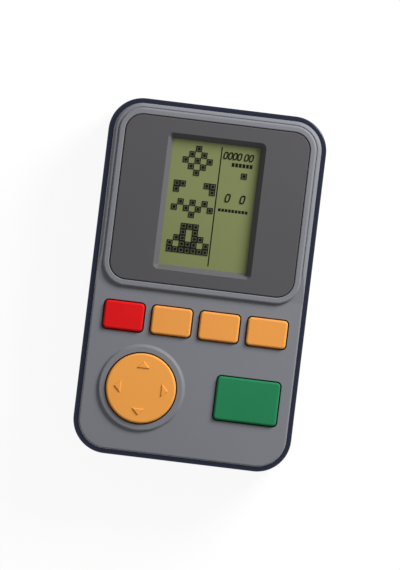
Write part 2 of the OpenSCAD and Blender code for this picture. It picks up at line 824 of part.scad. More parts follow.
// Screen

module screen_surround() {
    color(surround_grey) difference() {
        union() {
            translate([0, panel_y, 0])
                soft_block(panel_w, panel_l, panel_r, pocket_floor, panel_top, 0, panel_edge_r);
            translate([0, window_y, 0])
                middle_box(funnel_w, funnel_l, lcd_top + seat_gap, pocket_floor + sunk);
        }
        translate([0, window_y, 0]) {
            middle_box(window_w, window_l, lcd_top - past, panel_top + past);
            carry_round(window_w, window_l)
                polygon([[0, lcd_top], [window_slope, panel_top], [window_slope, panel_top + past],
                    [0, panel_top + past]]);
        }
    }
}

module lcd_front_glass() {
    color(lcd_green) translate([0, window_y - contact_ledge / 2, 0])
        middle_box(glass_w, glass_l + contact_ledge, lcd_top - glass_t, lcd_top);
}

module lcd_rear_glass() {
    color(lcd_green) translate([0, window_y, 0])
        middle_box(glass_w, glass_l, lcd_top - 2 * glass_t, lcd_top - glass_t);
}

module lcd_reflector() {
    color("silver") translate([0, window_y, 0])
        middle_box(reflector_w, reflector_l, lcd_bottom, lcd_bottom + reflector_t);
}

// Open frame that carries the screen on the board
module lcd_cradle() {
    bar = 1.6;
    color("whitesmoke") translate([0, window_y, 0]) {
        difference() {
            middle_box(reflector_w, reflector_l, board_top, lcd_bottom);
            middle_box(reflector_w - 2 * bar, reflector_l - 2 * bar, board_top - past, lcd_bottom + past);
        }
        for (y = [-1, 1] * reflector_l / 6) translate([0, y, 0])
            middle_box(reflector_w - bar, bar, board_top, lcd_bottom);
    }
}

module zebra_strip() {
    strip_w = 2.2;
    ledge_end = window_y - glass_l / 2 - contact_ledge;
    color("dimgray") translate([0, ledge_end + panel_gap + strip_w / 2, 0])
        middle_box(reflector_w - 1, strip_w, board_top, lcd_top - glass_t);
}

// Circuit board

module circuit_board() {
    notch = front_boss_r + sunk;
    color(board_green) difference() {
        middle_box(board_w, board_l, board_under, board_top);
        for (x = [-1, 1], y = [-1, 1])
            translate([x * (boss_x + board_w / 2), y * (boss_y + board_l / 2), 0])
                middle_box(board_w + 2 * notch, board_l + 2 * notch, board_under - past, board_top + past);
        for (p = posts) translate([p[0], p[1], board_under - past])
            cylinder(d = board_screw_d + 2 * screw_pass, h = board_t + 2 * past);
        translate([pad_x, pad_y, board_under - past])
            cylinder(r = seat_peg_r + fit_gap, h = board_t + 2 * past);
    }
}

// Two half-round tracks that a pill bridges
module contact_pair(r) {
    split = 0.5;
    translate([0, 0, board_top]) linear_extrude(track_t) difference() {
        circle(r);
        square([2 * r + past, split], center = true);
    }
}

module at_pad_domes() {
    translate([pad_x, pad_y, 0]) for (a = quarter_turns)
        rotate(a) translate([pad_dome_reach, 0, 0]) children();
}

module contact_pads() {
    color(carbon_black) {
        for (x = row_x) translate([x, row_y, 0]) contact_pair(key_dome[2] + track_margin);
        translate([green_x, green_y, 0]) contact_pair(key_dome[2] + track_margin);
        at_pad_domes() contact_pair(pad_dome[2] + track_margin);
    }
}

module board_screws() {
    color(steel) for (p = posts) translate([p[0], p[1], board_under])
        screw(board_screw_d, board_screw_l, board_head_r, board_head_h);
}

// Drop of resin over the game chip, on the back of the board
module chip_blob() {
    ball = (blob_r * blob_r + blob_h * blob_h) / (2 * blob_h);
    color(carbon_black) translate([0, piezo_y - blob_drop, board_under])
        rotate_extrude() mirror([0, 1]) intersection() {
            translate([0, blob_h - ball]) circle(ball);
            square([blob_r + past, blob_h + past]);
        }
}

module capacitors() {
    color("royalblue") for (i = [0, 1])
        translate([post_x - can_in, piezo_y - can_drop + i * can_pitch, board_under])
            mirror([0, 0, 1]) rotate_extrude() edge_section(can_r, 0, can_h, can_bead, can_bead);
}

module resistors() {
    color("dimgray") translate([resistor_in - post_x, piezo_y - resistor_drop, 0])
        for (i = [0 : 3], j = [0, 1]) translate([i * resistor_pitch, j * resistor_row, 0])
            middle_box(resistor_w, resistor_l, board_under - resistor_t, board_under);
}

module resonator() {
    color("goldenrod") translate([resonator_in - post_x, piezo_y - resonator_drop, 0])
        round_plate(resonator_w, resonator_l, resonator_r, board_under - resonator_h, board_under);
}

// Rubber keypads

function pill_low(press) = board_top + track_t + press + press_spare;

// Hollow dome with a plunger inside; dome gives its base, top and pill radius
module dome(dome, top, press) {
    pill_high = pill_low(press) + pill_t;
    roof = pill_high + plunger_l;
    rotate_extrude() polygon([
        [0, pill_high], [dome[2], pill_high], [dome[2], roof], [dome[2] + skirt_t, roof],
        [dome[0] - skirt_t, board_top], [dome[0], board_top], [dome[0], board_top + sheet_t],
        [dome[1], roof + dome_roof], [dome[1], top], [0, top]
    ]);
}

module pill(dome, press) {
    translate([0, 0, pill_low(press)]) cylinder(r = dome[2], h = pill_t);
}

module row_mat() {
    mat_l = 2 * (key_dome[0] + mat_margin);
    color(rubber_grey) {
        translate([0, row_y, board_top]) linear_extrude(sheet_t) difference() {
            round_rect(2 * row_x[row_count - 1] + mat_l, mat_l, mat_corner_r);
            for (x = row_x) translate([x, 0]) circle(key_dome[0] - skirt_t / 2);
        }
        for (x = row_x) translate([x, row_y, 0]) dome(key_dome, dome_top, button_travel);
    }
}

module green_mat() {
    mat_l = 2 * (key_dome[0] + mat_margin);
    color(rubber_grey) translate([green_x, green_y, 0]) {
        translate([0, 0, board_top]) linear_extrude(sheet_t) difference() {
            round_rect(mat_l + green_mat_spare, mat_l, mat_corner_r);
            circle(key_dome[0] - skirt_t / 2);
        }
        dome(key_dome, dome_top, button_travel);
    }
}

module pad_mat() {
    color(rubber_grey) {
        translate([pad_x, pad_y, board_top]) linear_extrude(sheet_t) difference() {
            circle(pad_mat_r);
            circle(seat_hole_r);
            for (a = quarter_turns) rotate(a) translate([pad_dome_reach, 0])
                circle(pad_dome[0] - skirt_t / 2);
        }
        at_pad_domes() dome(pad_dome, pad_dome_top, pad_press);
    }
}

module key_pill(x, y) {
    color(carbon_black) translate([x, y, 0]) pill(key_dome, button_travel);
}
module red_pill() { key_pill(row_x[0], row_y); }
module left_pill() { key_pill(row_x[1], row_y); }
module middle_pill() { key_pill(row_x[2], row_y); }
module right_pill() { key_pill(row_x[3], row_y); }
module green_pill() { key_pill(green_x, green_y); }

// Buttons

// Hollow key cap with a rounded top edge, two flange tabs under the face and a post over the dome
module key(x, y, w, l) {
    top = face_h + button_rise;
    roof = top - key_wall;
    flange_l = l + 2 * (button_gap + flange_reach);
    translate([x, y, 0]) {
        difference() {
            union() {
                soft_block(w, l, button_corner_r, flange_under, top, 0, button_round);
                middle_box(w - 2 * button_corner_r, flange_l, flange_under, flange_under + flange_t);
            }
            middle_box(w - 2 * key_wall, l - 2 * key_wall, flange_under - past, roof);
        }
        translate([0, 0, flange_under]) cylinder(r = key_post_r, h = roof - flange_under + sunk);
    }
}

module red_button() { color(button_red) key(row_x[0], row_y, button_w, button_l); }
module left_orange_button() { color(button_orange) key(row_x[1], row_y, button_w, button_l); }
module middle_orange_button() { color(button_orange) key(row_x[2], row_y, button_w, button_l); }
module right_orange_button() { color(button_orange) key(row_x[3], row_y, button_w, button_l); }
module green_button() { color(button_green) key(green_x, green_y, green_w, green_l); }

// Direction pad

// Three-sided arrow with bevelled sides that points along +X.
// Each side moves in by the same inset, so the tip and the base's ends move in by more.
module arrow() {
    slant = norm([arrow_l, arrow_w / 2]);
    function outline(inset, z) =
        let (half_w = arrow_w / 2 - inset * (arrow_w / 2 + slant) / arrow_l)
        let (tip = arrow_reach + arrow_l - inset * slant * 2 / arrow_w)
        [[arrow_reach + inset, -half_w, z], [tip, 0, z], [arrow_reach + inset, half_w, z]];
    points = concat(outline(-arrow_bevel * sunk / arrow_rise, pad_top - sunk),
        outline(arrow_bevel, pad_top + arrow_rise));
    sides = [for (k = [0 : 2]) let (n = (k + 1) % 3) each [[k, k + 3, n + 3], [k, n + 3, n]]];
    polyhedron(points, concat([[0, 1, 2], [5, 4, 3]], sides));
}

module direction_pad() {
    roof = pad_top - pad_wall;
    wall_r = pad_d / 2 - pad_wall;
    color(button_orange) translate([pad_x, pad_y, 0]) {
        difference() {
            rotate_extrude() difference() {
                union() {
                    edge_section(pad_d / 2, pad_flange_under, pad_top, 0, pad_round);
                    translate([0, pad_flange_under]) square([pad_flange_r, pad_flange_t]);
                }
                translate([boss_r, pad_flange_under - past])
                    square([wall_r - boss_r, roof - pad_flange_under + past]);
                translate([-past, pad_flange_under - past])
                    square([wall_r + past, boss_under - pad_flange_under + past]);
            }
            translate([0, 0, ball_z]) sphere(r = ball_r + cup_gap);
        }
        for (a = quarter_turns) rotate(a) {
            translate([pad_dome_reach, 0, pad_flange_under])
                cylinder(r = pad_plunger_r, h = roof - pad_flange_under + sunk);
            arrow();
        }
    }
}

module pad_pills() {
    color(carbon_black) at_pad_domes() pill(pad_dome, pad_press);
}

module pad_ball() {
    color(steel) translate([pad_x, pad_y, ball_z]) sphere(r = ball_r);
}

// Post on the board with a cup for the ball
module pad_seat() {
    color("whitesmoke") translate([pad_x, pad_y, 0]) difference() {
        union() {
            translate([0, 0, board_top]) cylinder(r = seat_r, h = seat_top - board_top);
            translate([0, 0, board_under]) cylinder(r = seat_peg_r, h = board_t + sunk);
        }
        translate([0, 0, ball_z]) sphere(r = ball_r + cup_gap);
    }
}

// Sound

module piezo_plate() {
    color(brass) translate([0, piezo_y, floor_t + piezo_seat]) cylinder(d = piezo_d, h = piezo_t);
}

module piezo_ceramic() {
    color("ivory") translate([0, piezo_y, floor_t + piezo_seat + piezo_t])
        cylinder(r = ceramic_r, h = piezo_t);
}

module speaker_leads() {
    color("firebrick") for (side = [-1, 1])
        wire(lead(side * speaker_lead_x, piezo_y + speaker_lead_in, piezo_top, speaker_lead_run),
            lead_r, lead_sides, [1, 0, 0]);
}

// Batteries

// Battery along Y with its nub at the given end, +1 or -1
module battery(x, end) {
    nub_y = end > 0 ? bay_high - contact_t - seat_gap : bay_low + contact_t + seat_gap;
    translate([x, nub_y, cell_z]) rotate([end > 0 ? 90 : -90, 0, 0]) rotate_extrude() {
        square([nub_r, nub_h + sunk]);
        translate([0, nub_h]) edge_section(cell_d / 2, 0, cell_l - nub_h - seat_gap, cell_edge, cell_edge);
    }
}

module left_battery() { color("darkslategray") battery(-cell_x, 1); }
module right_battery() { color("darkslategray") battery(cell_x, -1); }

// Flat contacts at both ends of the bay: two with a solder tag, and one that bridges the batteries
module battery_contacts() {
    contact_low = cell_z - contact_h / 2;
    color(steel) {
        for (x = [-1, 1]) translate([x * cell_x, bay_high - contact_t / 2, 0]) {
            middle_box(contact_w, contact_t, contact_low, contact_low + contact_h);
            translate([0, (bay_wall + tag_l) / 2, 0])
                middle_box(tag_w, bay_wall + tag_l, tag_z, tag_z + contact_t);
        }
        translate([0, bay_low + contact_t / 2, 0]) {
            for (x = [-1, 1]) translate([x * cell_x, 0, 0])
                middle_box(contact_w, contact_t, contact_low, contact_low + contact_h);
            middle_box(2 * cell_x, contact_t, contact_low, contact_low + bridge_h);
        }
    }
}

// Points of a spring that narrows from its contact to its battery, along +Y
spring_run = spring_l - 2 * seat_gap - spring_wire;
spring_points = [for (i = [0 : spring_turns * spring_rings])
    let (part = i / (spring_turns * spring_rings), a = 360 * i / spring_rings,
        r = spring_base_r + (spring_tip_r - spring_base_r) * part)
    [r * cos(a), seat_gap + spring_wire / 2 + spring_run * part, r * sin(a)]];
spring_least = min([for (i = [0 : len(spring_points) - 1 - spring_rings])
    for (j = [i + spring_rings / 2 : len(spring_points) - 1]) norm(spring_points[i] - spring_points[j])]);
echo(spring_least_gap = spring_least - spring_wire);

module battery_springs() {
    color(steel) {
        translate([-cell_x, bay_low + contact_t, cell_z])
            wire(spring_points, spring_wire / 2, spring_sides, [0, 1, 0]);
        translate([cell_x, bay_high - contact_t, cell_z]) rotate(180)
            wire(spring_points, spring_wire / 2, spring_sides, [0, 1, 0]);
    }
}

module battery_leads() {
    color("firebrick") for (x = [-1, 1])
        wire(lead(x * cell_x, bay_high + battery_lead_in, tag_z + contact_t, battery_lead_run),
            lead_r, lead_sides, [1, 0, 0]);
}

rear_shell();
front_shell();
battery_door();
case_screws();
screen_surround();
lcd_front_glass();
lcd_rear_glass();
lcd_reflector();
lcd_cradle();
zebra_strip();
circuit_board();
contact_pads();
board_screws();
chip_blob();
capacitors();
resistors();
resonator();
row_mat();
green_mat();
pad_mat();
red_button();
left_orange_button();
middle_orange_button();
right_orange_button();
green_button();
red_pill();
left_pill();
middle_pill();
right_pill();
green_pill();
direction_pad();
pad_pills();
pad_ball();
pad_seat();
piezo_plate();
piezo_ceramic();
speaker_leads();
left_battery();
right_battery();
battery_contacts();
battery_springs();
battery_leads();
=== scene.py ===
import math
import bpy
import numpy as np
from mathutils.geometry import tessellate_polygon
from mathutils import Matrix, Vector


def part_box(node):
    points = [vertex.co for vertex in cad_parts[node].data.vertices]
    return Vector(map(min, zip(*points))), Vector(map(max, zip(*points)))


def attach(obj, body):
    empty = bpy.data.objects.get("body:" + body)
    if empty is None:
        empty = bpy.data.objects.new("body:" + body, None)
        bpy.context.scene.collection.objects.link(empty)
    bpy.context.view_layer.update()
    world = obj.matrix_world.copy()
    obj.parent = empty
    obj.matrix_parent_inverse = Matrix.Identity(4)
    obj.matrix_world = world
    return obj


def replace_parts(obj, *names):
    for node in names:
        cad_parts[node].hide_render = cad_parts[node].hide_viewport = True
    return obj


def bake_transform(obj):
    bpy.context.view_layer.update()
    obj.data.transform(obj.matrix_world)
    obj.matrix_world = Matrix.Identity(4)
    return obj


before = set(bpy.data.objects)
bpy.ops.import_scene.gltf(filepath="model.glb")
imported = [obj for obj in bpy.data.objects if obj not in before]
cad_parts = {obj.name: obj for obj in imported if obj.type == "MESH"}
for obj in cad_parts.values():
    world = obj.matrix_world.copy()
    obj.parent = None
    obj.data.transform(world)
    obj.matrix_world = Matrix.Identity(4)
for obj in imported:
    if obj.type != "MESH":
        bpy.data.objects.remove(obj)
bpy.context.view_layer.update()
mm = 0.001
print("frame loaded:", len(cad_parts), "nodes")


# material helpers
plainLook = {"metallic": 0.0, "tint": (1, 1, 1), "coat": 0.0, "coatRoughness": 0.2}  # where a look gives none
driftDetail = 4.0  # octaves of noise
grainDetail = 2.0
streakDetail = 3.0
noiseSpan = (0.3, 0.7)  # where most of a noise's values lie
speckSpan = (0.35, 0.7)  # the brighter part of it, for specks
roughSpread = 0.06  # below and above a plastic's roughness
streakSpread = (0.08, 0.1)  # below and above a metal's roughness
waveUnit = 0.3  # about the length in which a wave texture of scale one repeats


def addNode(mat, kind, inputs=None, **settings):
    made = mat.node_tree.nodes.new(kind)
    for key, value in settings.items():
        setattr(made, key, value)
    for key, value in (inputs or {}).items():
        made.inputs[key].default_value = value
    return made


def link(mat, source, target):
    mat.node_tree.links.new(source, target)


# Principled shader with the constant values on its own sockets
def startMaterial(name, look):
    mat = bpy.data.materials.new(name)
    mat.use_nodes = True
    shader = mat.node_tree.nodes["Principled BSDF"]
    full = {**plainLook, **look}
    shader.inputs["Metallic"].default_value = full["metallic"]
    shader.inputs["Specular IOR Level"].default_value = full["specular"]
    shader.inputs["Specular Tint"].default_value = (*full["tint"], 1.0)
    shader.inputs["Coat Weight"].default_value = full["coat"]
    shader.inputs["Coat Roughness"].default_value = full["coatRoughness"]
    spot = addNode(mat, "ShaderNodeTexCoord").outputs["Object"]
    return mat, shader, spot


def noise(mat, spot, size, detail, stretch=None):
    if stretch:
        mapping = addNode(mat, "ShaderNodeMapping", {"Scale": stretch})
        link(mat, spot, mapping.inputs["Vector"])
        spot = mapping.outputs["Vector"]
    made = addNode(mat, "ShaderNodeTexNoise", {"Scale": 1 / size, "Detail": detail})
    link(mat, spot, made.inputs["Vector"])
    return made.outputs["Fac"]


def remap(mat, source, low, high, newLow, newHigh):
    made = addNode(mat, "ShaderNodeMapRange",
                   {"From Min": low, "From Max": high, "To Min": newLow, "To Max": newHigh})
    link(mat, source, made.inputs["Value"])
    return made.outputs["Result"]


def mixColour(mat, factor, first, second):
    made = addNode(mat, "ShaderNodeMix", data_type="RGBA")
    link(mat, factor, made.inputs[0])
    for socket, value in ((made.inputs[6], first), (made.inputs[7], second)):
        if isinstance(value, bpy.types.NodeSocket):
            link(mat, value, socket)
        else:
            socket.default_value = (*value, 1.0)
    return made.outputs[2]


def bump(mat, shader, height, depth):
    made = addNode(mat, "ShaderNodeBump", {"Distance": depth, "Strength": 1.0})
    link(mat, height, made.inputs["Height"])
    link(mat, made.outputs["Normal"], shader.inputs["Normal"])


# Moulded plastic: slow drift of shade, fine eroded grain in the bump, mottled roughness
def mouldedPlastic(name, look):
    mat, shader, spot = startMaterial(name, look)
    drift = remap(mat, noise(mat, spot, look["drift"], driftDetail), *noiseSpan, 0.0, 1.0)
    grain = noise(mat, spot, look["grain"], grainDetail)
    base = mixColour(mat, drift, look["base"], look["shade"])
    if "sunk" in look:  # painted light: paler where the moulding lies below the given height, brightening the window's sloped walls
        axes = addNode(mat, "ShaderNodeSeparateXYZ")
        link(mat, spot, axes.inputs["Vector"])
        edge = look["sunkBelow"]
        below = remap(mat, axes.outputs["Z"], edge - look["sunkBlend"], edge, 1.0, 0.0)
        base = mixColour(mat, below, base, look["sunk"])
    specks = remap(mat, grain, *speckSpan, 0.0, look["speckle"])
    link(mat, mixColour(mat, specks, base, look["fleck"]), shader.inputs["Base Color"])
    rough = remap(mat, grain, *noiseSpan, look["roughness"] - roughSpread, look["roughness"] + roughSpread)
    link(mat, rough, shader.inputs["Roughness"])
    bump(mat, shader, grain, look["grainDepth"])
    return mat


# Metal drawn or rolled one way: fine streaks in shade, roughness and bump
def drawnMetal(name, look):
    mat, shader, spot = startMaterial(name, look)
    streak = noise(mat, spot, look["grain"], streakDetail, look["stretch"])
    link(mat, mixColour(mat, streak, look["base"], look["shade"]), shader.inputs["Base Color"])
    smoother, rougher = streakSpread
    rough = remap(mat, streak, *noiseSpan, look["roughness"] - smoother, look["roughness"] + rougher)
    link(mat, rough, shader.inputs["Roughness"])
    bump(mat, shader, streak, look["grainDepth"])
    return mat


# finishes of the case and the keys; colours are linear values
navyCase = mouldedPlastic("navyCase", {
    "base": (0.0022, 0.0028, 0.0055), "shade": (0.003, 0.0036, 0.007), "fleck": (0.005, 0.006, 0.011),
    "drift": 24 * mm, "grain": 0.22 * mm, "grainDepth": 0.006 * mm, "speckle": 0.3,
    "roughness": 0.26, "specular": 0.6, "tint": (0.5, 0.57, 0.93)})
greyFace = mouldedPlastic("greyFace", {
    "base": (0.172, 0.178, 0.197), "shade": (0.180, 0.185, 0.205), "fleck": (0.215, 0.22, 0.24),
    "drift": 26 * mm, "grain": 0.25 * mm, "grainDepth": 0.012 * mm, "speckle": 0.25,
    "roughness": 0.64, "specular": 0.28})
darkSurround = mouldedPlastic("darkSurround", {
    "base": (0.074, 0.0715, 0.076), "shade": (0.078, 0.0755, 0.080), "fleck": (0.098, 0.097, 0.102),
    "drift": 30 * mm, "grain": 0.18 * mm, "grainDepth": 0.006 * mm, "speckle": 0.2,
    "roughness": 0.64, "specular": 0.15,
    # painted light: below the surround's top the window's sloped walls are paler, standing in for light the
    # lamps don't give them
    "sunk": (0.105, 0.103, 0.112), "sunkBelow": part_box("screen_surround")[1].z - 0.05 * mm,
    "sunkBlend": 0.1 * mm})
redKey = mouldedPlastic("redKey", {
    "base": (0.67, 0.004, 0.006), "shade": (0.70, 0.005, 0.007), "fleck": (0.73, 0.010, 0.012),
    "drift": 9 * mm, "grain": 0.16 * mm, "grainDepth": 0.005 * mm, "speckle": 0.2,
    "roughness": 0.64, "specular": 0.14})
orangeKey = mouldedPlastic("orangeKey", {
    "base": (0.775, 0.305, 0.058), "shade": (0.795, 0.32, 0.064), "fleck": (0.815, 0.34, 0.078),
    "drift": 11 * mm, "grain": 0.16 * mm, "grainDepth": 0.005 * mm, "speckle": 0.2,
    "roughness": 0.64, "specular": 0.2})
# Painted light: the pad's orange is a brighter copy of the keys' orange, making up for lamp light that falls
# off towards the pad
orangePadPaintedLight = mouldedPlastic("orangePadPaintedLight", {
    "base": (0.84, 0.34, 0.063), "shade": (0.86, 0.355, 0.068), "fleck": (0.88, 0.375, 0.08),
    "drift": 14 * mm, "grain": 0.16 * mm, "grainDepth": 0.005 * mm, "speckle": 0.2,
    "roughness": 0.64, "specular": 0.2})
greenKey = mouldedPlastic("greenKey", {
    "base": (0.013, 0.184, 0.070), "shade": (0.015, 0.195, 0.076), "fleck": (0.022, 0.21, 0.085),
    "drift": 12 * mm, "grain": 0.16 * mm, "grainDepth": 0.005 * mm, "speckle": 0.2,
    "roughness": 0.64, "specular": 0.14})
naturalPlastic = mouldedPlastic("naturalPlastic", {
    "base": (0.70, 0.69, 0.65), "shade": (0.74, 0.73, 0.70), "fleck": (0.80, 0.80, 0.78),
    "drift": 10 * mm, "grain": 0.2 * mm, "grainDepth": 0.006 * mm, "speckle": 0.2,
    "roughness": 0.45, "specular": 0.35})
siliconeSheet = mouldedPlastic("siliconeSheet", {
    "base": (0.46, 0.47, 0.48), "shade": (0.50, 0.51, 0.52), "fleck": (0.55, 0.56, 0.57),
    "drift": 7 * mm, "grain": 0.15 * mm, "grainDepth": 0.008 * mm, "speckle": 0.3,
    "roughness": 0.7, "specular": 0.25})
carbonRubber = mouldedPlastic("carbonRubber", {
    "base": (0.012, 0.012, 0.013), "shade": (0.018, 0.018, 0.018), "fleck": (0.05, 0.05, 0.05),
    "drift": 3 * mm, "grain": 0.1 * mm, "grainDepth": 0.008 * mm, "speckle": 0.5,
    "roughness": 0.75, "specular": 0.2})
chipResin = mouldedPlastic("chipResin", {
    "base": (0.008, 0.008, 0.009), "shade": (0.014, 0.014, 0.015), "fleck": (0.03, 0.03, 0.03),
    "drift": 4 * mm, "grain": 0.5 * mm, "grainDepth": 0.03 * mm, "speckle": 0.3,
    "roughness": 0.22, "specular": 0.5, "coat": 0.4})
sleeveBlue = mouldedPlastic("sleeveBlue", {
    "base": (0.012, 0.022, 0.10), "shade": (0.018, 0.03, 0.13), "fleck": (0.03, 0.05, 0.18),
    "drift": 3 * mm, "grain": 0.2 * mm, "grainDepth": 0.006 * mm, "speckle": 0.2,
    "roughness": 0.3, "specular": 0.45})
chipBody = mouldedPlastic("chipBody", {
    "base": (0.012, 0.012, 0.012), "shade": (0.02, 0.02, 0.02), "fleck": (0.07, 0.07, 0.07),
    "drift": 1 * mm, "grain": 0.1 * mm, "grainDepth": 0.005 * mm, "speckle": 0.4,
    "roughness": 0.5, "specular": 0.4})
dippedOchre = mouldedPlastic("dippedOchre", {
    "base": (0.52, 0.20, 0.02), "shade": (0.58, 0.24, 0.03), "fleck": (0.66, 0.30, 0.06),
    "drift": 3 * mm, "grain": 0.4 * mm, "grainDepth": 0.02 * mm, "speckle": 0.3,
    "roughness": 0.3, "specular": 0.5})
leadSleeve = mouldedPlastic("leadSleeve", {
    "base": (0.30, 0.012, 0.010), "shade": (0.36, 0.018, 0.014), "fleck": (0.42, 0.05, 0.04),
    "drift": 4 * mm, "grain": 0.2 * mm, "grainDepth": 0.004 * mm, "speckle": 0.2,
    "roughness": 0.4, "specular": 0.4})
silverCeramic = mouldedPlastic("silverCeramic", {
    "base": (0.62, 0.61, 0.58), "shade": (0.70, 0.69, 0.66), "fleck": (0.78, 0.78, 0.77),
    "drift": 5 * mm, "grain": 0.12 * mm, "grainDepth": 0.006 * mm, "speckle": 0.4,
    "roughness": 0.4, "specular": 0.5})
platedSteel = drawnMetal("platedSteel", {
    "base": (0.50, 0.50, 0.51), "shade": (0.62, 0.62, 0.63), "grain": 0.3 * mm, "stretch": (1, 1, 0.15),
    "grainDepth": 0.003 * mm, "roughness": 0.32, "metallic": 1.0, "specular": 0.5})
discBrass = drawnMetal("discBrass", {
    "base": (0.56, 0.38, 0.12), "shade": (0.64, 0.46, 0.17), "grain": 0.3 * mm, "stretch": (1, 0.1, 1),
    "grainDepth": 0.003 * mm, "roughness": 0.35, "metallic": 1.0, "specular": 0.5})
foilSilver = drawnMetal("foilSilver", {
    "base": (0.60, 0.61, 0.59), "shade": (0.72, 0.73, 0.71), "grain": 0.25 * mm, "stretch": (1, 0.08, 1),
    "grainDepth": 0.002 * mm, "roughness": 0.4, "metallic": 1.0, "specular": 0.5})
print("plastics and metals made")


# Screen: matt polariser over green glass, a slow unevenness and a very fine frost
def screenGlass(look):
    mat, shader, spot = startMaterial("screenGlass", look)
    uneven = remap(mat, noise(mat, spot, look["drift"], grainDetail), *noiseSpan, 0.0, 1.0)
    frost = noise(mat, spot, look["grain"], grainDetail)
    base = mixColour(mat, uneven, look["base"], look["shade"])
    fine = remap(mat, frost, *noiseSpan, 0.0, look["speckle"])
    link(mat, mixColour(mat, fine, base, look["fleck"]), shader.inputs["Base Color"])
    link(mat, remap(mat, frost, *noiseSpan, *look["roughness"]), shader.inputs["Roughness"])
    bump(mat, shader, frost, look["grainDepth"])
    return mat


# Board: green mask over a faint weave, with darker patches where copper lies below
def maskedBoard(look):
    mat, shader, spot = startMaterial("maskedBoard", look)
    weave = addNode(mat, "ShaderNodeTexWave",
                    {"Scale": waveUnit / look["weave"], "Distortion": look["distortion"]})
    link(mat, spot, weave.inputs["Vector"])
    copper = remap(mat, noise(mat, spot, look["copper"], look["copperDetail"]), *look["copperEdge"], 0.0, 1.0)
    base = mixColour(mat, copper, look["base"], look["shade"])
    faint = remap(mat, weave.outputs["Fac"], 0.0, 1.0, 0.0, look["faint"])
    link(mat, mixColour(mat, faint, base, look["fleck"]), shader.inputs["Base Color"])
    link(mat, remap(mat, copper, 0.0, 1.0, *look["roughness"]), shader.inputs["Roughness"])
    bump(mat, shader, copper, look["copperRise"])
    return mat


# Zebra rubber: thin dark and pale layers across the strip
def zebraRubber(look):
    mat, shader, spot = startMaterial("zebraRubber", look)
    layers = addNode(mat, "ShaderNodeTexWave", {"Scale": waveUnit / look["layer"]}, bands_direction="X")
    link(mat, spot, layers.inputs["Vector"])
    link(mat, mixColour(mat, layers.outputs["Fac"], look["base"], look["shade"]), shader.inputs["Base Color"])
    link(mat, remap(mat, layers.outputs["Fac"], 0.0, 1.0, *look["roughness"]), shader.inputs["Roughness"])
    return mat


# Battery: plain wrap with a pale band and a pale rim, bare steel at both ends; the long axis is Y
def wrappedCell(name, look, low, high, nubUp):
    mat, shader, spot = startMaterial(name, look)
    axes = addNode(mat, "ShaderNodeSeparateXYZ")
    link(mat, spot, axes.inputs["Vector"])
    foot, nub = (low, high) if nubUp else (high, low)
    share = remap(mat, axes.outputs["Y"], foot, nub, 0.0, 1.0)
    steps = addNode(mat, "ShaderNodeValToRGB")
    ramp = steps.color_ramp
    ramp.interpolation = "CONSTANT"
    while len(ramp.elements) < len(look["stops"]):
        ramp.elements.new(0.5)  # moved to its own place below
    for element, (place, colour) in zip(ramp.elements, look["stops"]):
        element.position = place
        element.color = (*look[colour], 1.0)
    link(mat, share, steps.inputs["Fac"])
    worn = noise(mat, spot, look["grain"], driftDetail)
    scuff = remap(mat, worn, *look["scuffSpan"], 0.0, look["scuffMost"])
    link(mat, mixColour(mat, scuff, steps.outputs["Color"], look["scuff"]), shader.inputs["Base Color"])
    link(mat, remap(mat, scuff, 0.0, look["scuffMost"], *look["roughness"]), shader.inputs["Roughness"])
    return mat


screenLook = {"base": (0.175, 0.200, 0.080), "shade": (0.184, 0.209, 0.085), "fleck": (0.203, 0.230, 0.095),
              "drift": 18 * mm, "grain": 0.12 * mm, "grainDepth": 0.002 * mm, "speckle": 0.3,
              "roughness": (0.44, 0.56), "specular": 0.12}
boardLook = {"base": (0.012, 0.085, 0.03), "shade": (0.02, 0.14, 0.05), "fleck": (0.05, 0.18, 0.08),
             "weave": 0.6 * mm, "distortion": 1.5, "faint": 0.15,
             "copper": 5 * mm, "copperDetail": 0.0, "copperEdge": (0.47, 0.53), "copperRise": 0.03 * mm,
             "roughness": (0.34, 0.26), "specular": 0.5}
zebraLook = {"base": (0.012, 0.012, 0.012), "shade": (0.32, 0.30, 0.28), "layer": 0.2 * mm,
             "roughness": (0.6, 0.75), "specular": 0.25}
cellLook = {"base": (0.035, 0.075, 0.085), "band": (0.55, 0.56, 0.53), "steel": (0.48, 0.48, 0.47),
            "stops": ((0.0, "steel"), (0.02, "base"), (0.74, "band"), (0.78, "base"), (0.93, "band"),
                      (0.955, "steel")),  # shares of the length, from the flat end
            "scuff": (0.20, 0.23, 0.23), "scuffSpan": (0.45, 0.75), "scuffMost": 0.25, "grain": 3 * mm,
            "roughness": (0.28, 0.42), "specular": 0.5, "coat": 0.3}
lcdGreen = screenGlass(screenLook)
boardGreen = maskedBoard(boardLook)
zebraLayers = zebraRubber(zebraLook)
cellFinish = {}
for node, nubUp in (("left_battery", True), ("right_battery", False)):
    low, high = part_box(node)
    cellFinish[node] = wrappedCell(node + "Wrap", cellLook, low.y, high.y, nubUp)

